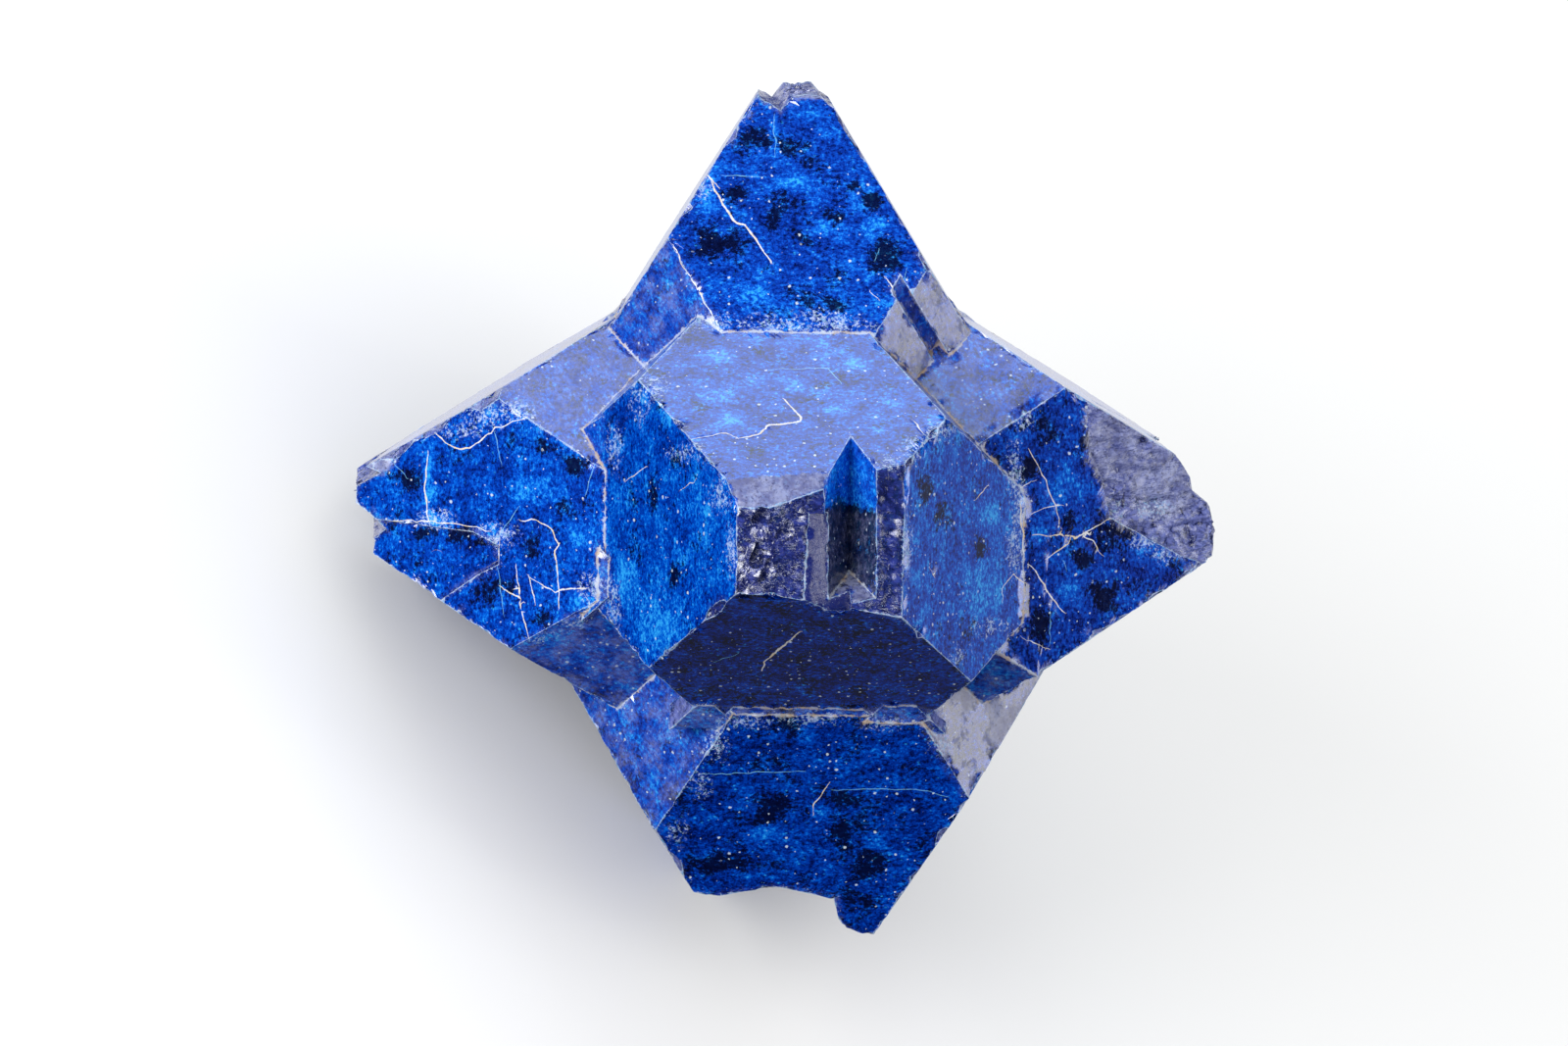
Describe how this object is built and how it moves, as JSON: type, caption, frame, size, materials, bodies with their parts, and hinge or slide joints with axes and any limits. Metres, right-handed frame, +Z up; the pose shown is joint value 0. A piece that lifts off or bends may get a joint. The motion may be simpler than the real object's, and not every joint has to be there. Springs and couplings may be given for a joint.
{
  "type": "cumengeite crystal",
  "caption": "Deep blue star-shaped crystal of square pyramids grown together, with broken points and chipped edges, lying on three of its corners.",
  "frame": {"origin": "on the floor, under the centre of the bounding box", "axes": "+Z up from the floor the crystal lies on; the front point leans towards -Y and the back point away from it; +X is to the right of someone facing the front point"},
  "size_m": [0.0164, 0.018, 0.015],
  "materials": {
    "crystal": "glassy crystal faces, mottled blue, worn edges"
  },
  "bodies": {
    "root": {"crystal": "crystal"}
  },
  "joints": []
}
